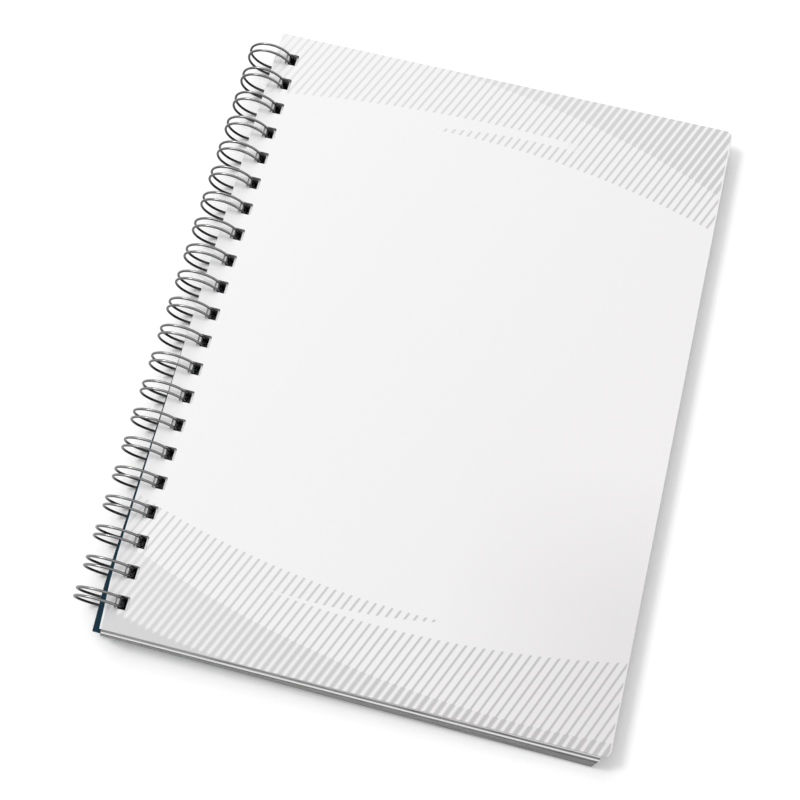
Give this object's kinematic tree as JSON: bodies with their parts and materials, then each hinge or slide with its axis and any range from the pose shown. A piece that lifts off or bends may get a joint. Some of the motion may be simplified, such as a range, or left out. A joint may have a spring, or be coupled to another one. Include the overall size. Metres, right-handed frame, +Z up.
{
  "type": "spiral notebook",
  "caption": "Wire-bound notebook, portrait format, closed and lying flat: white front cover with striped print, dark back cover, block of pages and twin-loop binding wire along the spine.",
  "frame": {"origin": "on the table, below the middle of the whole notebook, wire included", "axes": "+X from the bound edge to the fore edge, +Y from the foot to the head of the notebook, +Z up out of the front cover"},
  "size_m": [0.2208, 0.2824, 0.0208],
  "materials": {
    "wire": "smooth silver wire, softly reflecting",
    "front_card": "smooth white coated card with light grey diagonal stripes along its head and foot",
    "pages": "uncoated white writing paper, cut edges showing the sheets",
    "back_card": "smooth dark teal card, matt"
  },
  "bodies": {
    "block": {"wire_binding": "wire", "page_block": "pages"},
    "front": {"front_cover": "front_card"},
    "back": {"back_cover": "back_card"}
  },
  "joints": [
    {"name": "front_turn", "type": "hinge", "parent": "block", "child": "front", "pos_m": [-0.09997, 0, 0.0104], "axis": [0, -1, 0], "range_deg": [0, 180]},
    {"name": "back_turn", "type": "hinge", "parent": "block", "child": "back", "pos_m": [-0.09997, 0, 0.0104], "axis": [0, 1, 0], "range_deg": [0, 30]}
  ]
}
